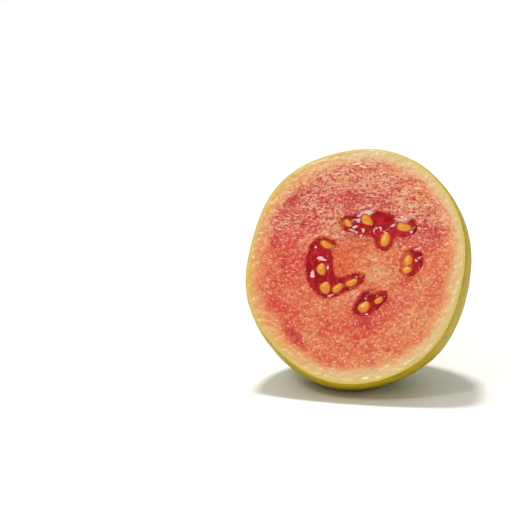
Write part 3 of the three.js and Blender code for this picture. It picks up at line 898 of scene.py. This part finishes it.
def build_pulp(form, material, pocket):
    """Jelly that fills one pocket: loops across it from one side of the outline to the other, over
    the top and back under the bottom. The top sags between the walls, swells round the seeds and
    carries two sizes of noise. It is flat and tilted in wet places, and raised where flesh shows
    through."""
    count, sides = 120, 96
    one, other = rails(pocket, count)
    span = np.linalg.norm(one - other, axis=1, keepdims=True)
    outwards = PULP_OVERLAP * (one - other) / np.maximum(span, PULP_OVERLAP)
    one, other = one + outwards, other - outwards
    theta = circle(sides)
    across = (1 - np.cos(theta)) / 2
    flat = one[1:-1, None] + (other - one)[1:-1, None] * across[:, None]
    on_top = theta < np.pi
    top = np.where(on_top, np.sin(theta), 0)
    under = np.where(on_top, 0, np.abs(np.sin(theta)) ** 0.5)
    place = np.concatenate([flat, np.zeros(flat.shape[:2] + (1,))], -1)
    noise = noise_height(place, PULP_NOISE)
    near = np.zeros(flat.shape[:2])
    for x, y, _, size, _ in SEEDS[pocket]:
        gap = np.linalg.norm(flat - [x, y], axis=-1)
        near = np.maximum(near, SWELL * np.exp(-((gap / (SWELL_REACH * size)) ** 2)))
    level = form.pulp_below_cut / MM
    ends = np.sin(np.linspace(0, np.pi, count))[1:-1, None] ** 0.3
    wall_level = WALL_SHARE * level
    sag = np.minimum(top * 1.25, 1) ** 0.8
    height = -wall_level - (level - wall_level) * sag * ends + (noise * top**0.7 + near * on_top) * ends
    for spot in WET_SPOTS:
        flatter = smoothstep(spots(flat, [spot]) + 0.2 * lattice_noise(place, 0.9, 77), 0.35, 0.6) * on_top
        slope = WET_TILT[0] * (flat[..., 0] - spot[0]) + WET_TILT[1] * (flat[..., 1] - spot[1])
        height = height + flatter * (slope - 0.9 * level - height)
    flesh_share = smoothstep(spots(flat, FLESHY_SPOTS), 0.3, 0.9) * on_top
    height = height + flesh_share * np.maximum(-FLESHY_DEPTH - height, 0)
    height = height - under * ends * (form.pocket_depth / MM - wall_level - 0.1)
    rows = np.concatenate([flat, height[..., None]], -1)
    tips = [np.append(side, -wall_level) for side in (one[0], one[-1])]
    body = loft(tips[0], rows, tips[1])
    attributes = {
        "rim": per_point(1, 1 - np.broadcast_to(top, height.shape), 1),
        "fleshy": per_point(0, spots(flat, FLESHY_SPOTS), 0),
        # Mask of the painted glare
        "film": per_point(0, spots(flat, PAINTED_GLARE_SPOTS), 0),
        "near_seed": per_point(0, near / SWELL, 0),
    }
    make_piece(f"jelly_{pocket}", body, material, [f"pulp_{pocket}"], attributes)


def build_seed(form, material, pocket, number):
    """One seed: a ball drawn out by the cosine to a power just under one, narrowed towards its tip,
    bent like a bean by the square of the cosine, and scaled by one plus noise, which dents it."""
    x, y, degrees, size, plump = SEEDS[pocket][number]
    rows, sides = 36, 56
    theta = np.linspace(0, np.pi, rows + 2)[1:-1, None]
    phi = circle(sides)
    key = 50 + 7 * number + 31 * list(SEEDS).index(pocket)
    t = np.cos(theta) + 0 * phi
    unit = np.stack([t, np.sin(theta) * np.cos(phi), np.sin(theta) * np.sin(phi)], -1)
    dents = 1 + 0.07 * lattice_noise(unit + key, 0.9, key) + 0.03 * lattice_noise(unit + key, 0.4, key + 1)
    half = np.array([form.seed_length, form.seed_width * plump, form.seed_height]) / MM * size
    slim = 1 - SEED_TAPER * t
    local = np.stack([
        np.sign(t) * np.abs(t) ** 0.92 * half[0],
        unit[..., 1] * half[1] * slim + SEED_BEND * size * (t * t - 0.5),
        unit[..., 2] * half[2] * slim,
    ], -1) * dents[..., None]
    turn = math.radians(degrees)
    spin = np.array([[math.cos(turn), math.sin(turn), 0], [-math.sin(turn), math.cos(turn), 0], [0, 0, 1]])
    middle = np.array([x, y, -SEED_TOP_BELOW_CUT - half[2] * 1.03])
    placed = local @ spin + middle
    ends = [np.array([sign * half[0], SEED_BEND * size / 2, 0]) @ spin + middle for sign in (1, -1)]
    body = loft(ends[0], placed, ends[1])
    low = per_point(0.9, 1 - smoothstep(unit[..., 2], 0.32, 1.0), 0.9)
    name = f"{pocket}_{number + 1}"
    make_piece(f"pip_{name}", body, material, [f"seed_{name}"], {"low": low})


def crown_body(form, rows, start, end):
    """A body of a crown that stands up along z, turned over onto the blossom end."""
    place = fruit_surface(form, 1.0, 0.0)
    return loft(*(points * np.array([1, -1, -1]) + place for points in (start, rows, end)))


def crown_ring():
    """A lathe profile of the ring and its dished disc, pushed out along its normals by noise."""
    radius, wall, height, root = (CROWN[k] for k in ("radius", "wall", "height", "root"))
    inside = radius - wall
    profile = np.array([(0.6, -root), (radius, -root), (radius + 0.05, 0.2), (radius, height - 0.4),
                        (radius - 0.25 * wall, height - 0.1), (radius - 0.6 * wall, height),
                        (inside, height - 0.35), (inside - 0.3, 0.9), (2.4, 0.75), (0.8, 0.95)])
    steps = np.linspace(0, len(profile) - 1, 40)
    r, z = (np.interp(steps, np.arange(len(profile)), profile[:, i]) for i in (0, 1))
    phi = circle(120)
    rows = round_axis(r[:, None], phi, z[:, None])
    rows = rows + grid_normals(rows) * noise_height(rows, CROWN_NOISE)[..., None]
    return rows, np.array([0, 0, -root]), np.array([0, 0, 1.0])


def sepal(number):
    """A blade along a curve that leans outwards and curls back at its tip: each section is a flat
    ellipse with a raised middle rib, its width an arch that ends in a point."""
    rows, sides = 30, 40
    t = np.linspace(0, 1, rows + 2)[1:-1, None]
    theta = circle(sides)
    rng = np.random.default_rng(70 + number)
    curl, reach, twist = rng.uniform(0.2, 0.9), rng.uniform(0.85, 1.05), rng.uniform(-0.25, 0.25)
    angle = math.radians(90 - SEPALS["spread"]) + curl * (t - 0.3) - 0.35
    step = SEPALS["length"] * reach / rows
    x = np.cumsum(np.cos(angle), 0) * step
    z = np.cumsum(np.sin(angle), 0) * step
    width = SEPALS["half_width"] * (1 - t**1.6) ** 0.9 * (1 + 0.08 * np.sin(9 * t + number))
    across = width * np.cos(theta)
    cup = 0.35 * (np.cos(theta) ** 2) * (1 - t)
    rib = 1 + 0.4 * np.exp(-((across / 0.4) ** 2))
    thick = SEPALS["thickness"] / 2 * (1 - 0.6 * t) * np.sin(theta) * rib
    wrinkle = 0.12 * lattice_noise(np.stack([x + 0 * theta, across, z + 0 * theta], -1), 0.8, 80 + number)
    lift = thick + cup + wrinkle
    out = CROWN["radius"] - 0.7 + x - np.sin(angle) * lift
    up = CROWN["height"] - 1.0 + z + np.cos(angle) * lift
    side = across + twist * x
    points = np.stack([*turned(out, side, 2 * math.pi * number / SEPALS["count"]), up], -1)
    return points, points[0].mean(0), points[-1].mean(0)


def stamen(number):
    """A dried thread: a thin round tube along a bent line from the dish, with a small knob."""
    rng = np.random.default_rng(200 + number)
    rows, sides = 9, 6
    t = np.linspace(0, 1, rows)[:, None]
    theta = circle(sides)
    start = rng.uniform(0.3, 3.2)
    turn = rng.uniform(0, 2 * math.pi)
    lean, tall = rng.uniform(-0.5, 0.9), rng.uniform(0.7, 1.7)
    centre_r = start + lean * t**2
    centre_z = 0.6 + tall * t
    thick = 0.1 * (1 + 1.1 * np.exp(-(((t - 0.95) / 0.08) ** 2)))
    bend = turn + rng.uniform(-0.3, 0.3) * t
    points = np.stack([centre_r * np.cos(bend) + thick * np.cos(theta),
                       centre_r * np.sin(bend) + thick * np.sin(theta), centre_z + 0 * theta], -1)
    return points, points[0].mean(0), points[-1].mean(0) + [0, 0, 0.08]


def build_crown(form, colours):
    """The ring with its sepals as one piece, and the stamens as another."""
    material = crown_material(colours)
    sepals = [crown_ring()] + [sepal(number) for number in range(SEPALS["count"])]
    stamens = [stamen(number) for number in range(STAMENS)]
    for name, shapes, nodes in (("sepals", sepals, ["blossom_crown"]), ("stamens", stamens, [])):
        body = merge_bodies([crown_body(form, *shape) for shape in shapes])
        make_piece(name, body, material, nodes)


# Stage

def build_floor(colours):
    """A plain floor, wide enough to fill the view."""
    half = FLOOR_HALF_WIDTH
    mesh = bpy.data.meshes.new("floor")
    corners = [(-half, -half, 0), (half, -half, 0), (half, half, 0), (-half, half, 0)]
    mesh.from_pydata(corners, [], [(0, 1, 2, 3)])
    s = Material("plain_floor")
    s.base = (*colours.floor, 1.0)
    mesh.materials.append(s.finish({"Roughness": 0.45}))
    add_object("floor", mesh)


def far_light(name, way, wide, strength, shade):
    """A light so far away that it falls evenly on the floor; its disc is wide degrees across."""
    light = bpy.data.lights.new(name, "SUN")
    light.angle = math.radians(wide)
    light.energy = strength
    light.color = shade
    add_object(name, light).rotation_euler = Vector(way).to_track_quat("Z", "Y").to_euler()


def build_camera(stage):
    """A camera opposite the view point, at the stage's distance and angles, that aims off it."""
    centre = FACE_CENTRE + VIEW_POINT[0] * RIGHT + VIEW_POINT[1] * UP
    flat = math.cos(stage.elevation)
    way = [flat * math.sin(stage.azimuth), -flat * math.cos(stage.azimuth), math.sin(stage.elevation)]
    data = bpy.data.cameras.new("camera")
    data.lens = stage.lens
    data.sensor_width = SENSOR_WIDTH
    camera = add_object("camera", data)
    camera.location = Vector((centre + np.array(way) * stage.distance / MM) * MM)
    aim = Vector((centre + AIM_OFFSET) * MM)
    camera.rotation_euler = (aim - camera.location).to_track_quat("-Z", "Y").to_euler()
    bpy.context.scene.camera = camera


class GUAVA_OT_stage(bpy.types.Operator):
    """Adds the floor, the camera and the lights"""

    bl_idname = "guava.stage"
    bl_label = "Stage"

    def execute(self, context):
        scene = context.scene
        stage = scene.guava_stage
        build_camera(stage)
        build_floor(scene.guava_colours)
        for name, (way, wide, shade) in LIGHTS.items():
            far_light(name, way, wide, getattr(stage, name), shade)
        scene.world = bpy.data.worlds.new("surroundings")
        scene.world.use_nodes = True
        s = Shader(scene.world.node_tree)
        seen = s.add("ShaderNodeLightPath").outputs["Is Camera Ray"]
        bright = s.plus(stage.sky, s.times(seen, 1.0 - stage.sky))
        s.feed(s.tree.nodes["Background"], {"Color": (1, 1, 1, 1), "Strength": bright})
        scene.view_settings.view_transform = "Standard"
        return {"FINISHED"}


class GUAVA_OT_skin(bpy.types.Operator):
    """Builds the peel"""

    bl_idname = "guava.skin"
    bl_label = "Peel"

    def execute(self, context):
        build_skin(context.scene.guava_form, context.scene.guava_colours)
        return {"FINISHED"}


class GUAVA_OT_flesh(bpy.types.Operator):
    """Builds the flesh with its cut face and seed pockets"""

    bl_idname = "guava.flesh"
    bl_label = "Flesh"

    def execute(self, context):
        build_flesh(context.scene.guava_form, context.scene.guava_colours)
        return {"FINISHED"}


class GUAVA_OT_pulp(bpy.types.Operator):
    """Builds the jelly in each seed pocket"""

    bl_idname = "guava.pulp"
    bl_label = "Pulp"

    def execute(self, context):
        material = pulp_material(context.scene.guava_colours)
        for pocket in POCKETS:
            build_pulp(context.scene.guava_form, material, pocket)
        return {"FINISHED"}


class GUAVA_OT_seeds(bpy.types.Operator):
    """Builds the seeds"""

    bl_idname = "guava.seeds"
    bl_label = "Seeds"

    def execute(self, context):
        material = seed_material(context.scene.guava_colours)
        for pocket, seeds in SEEDS.items():
            for number in range(len(seeds)):
                build_seed(context.scene.guava_form, material, pocket, number)
        return {"FINISHED"}


class GUAVA_OT_crown(bpy.types.Operator):
    """Builds the dried crown at the blossom end"""

    bl_idname = "guava.crown"
    bl_label = "Crown"

    def execute(self, context):
        build_crown(context.scene.guava_form, context.scene.guava_colours)
        return {"FINISHED"}


class GUAVA_PT_panel(bpy.types.Panel):
    """Lists the steps and the sizes and colours"""

    bl_idname = "GUAVA_PT_panel"
    bl_label = "Half Guava"
    bl_space_type = "VIEW_3D"
    bl_region_type = "UI"
    bl_category = "Guava"

    def draw(self, context):
        layout = self.layout
        for operator in OPERATORS:
            layout.operator(operator.bl_idname)
        for group in (context.scene.guava_form, context.scene.guava_colours, context.scene.guava_stage):
            for name in group.bl_rna.properties.keys()[2:]:
                layout.prop(group, name)


GROUPS = {"guava_form": GuavaForm, "guava_colours": GuavaColours, "guava_stage": GuavaStage}
OPERATORS = (GUAVA_OT_stage, GUAVA_OT_skin, GUAVA_OT_flesh, GUAVA_OT_pulp, GUAVA_OT_seeds, GUAVA_OT_crown)
CLASSES = (*GROUPS.values(), *OPERATORS, GUAVA_PT_panel)


def register():
    for item in CLASSES:
        bpy.utils.register_class(item)
    for name, group in GROUPS.items():
        setattr(bpy.types.Scene, name, PointerProperty(type=group))


def unregister():
    for name in GROUPS:
        delattr(bpy.types.Scene, name)
    for item in reversed(CLASSES):
        bpy.utils.unregister_class(item)


def main():
    register()
    for operator in OPERATORS:
        getattr(bpy.ops.guava, operator.bl_idname.split(".")[1])()


if __name__ == "__main__":
    main()
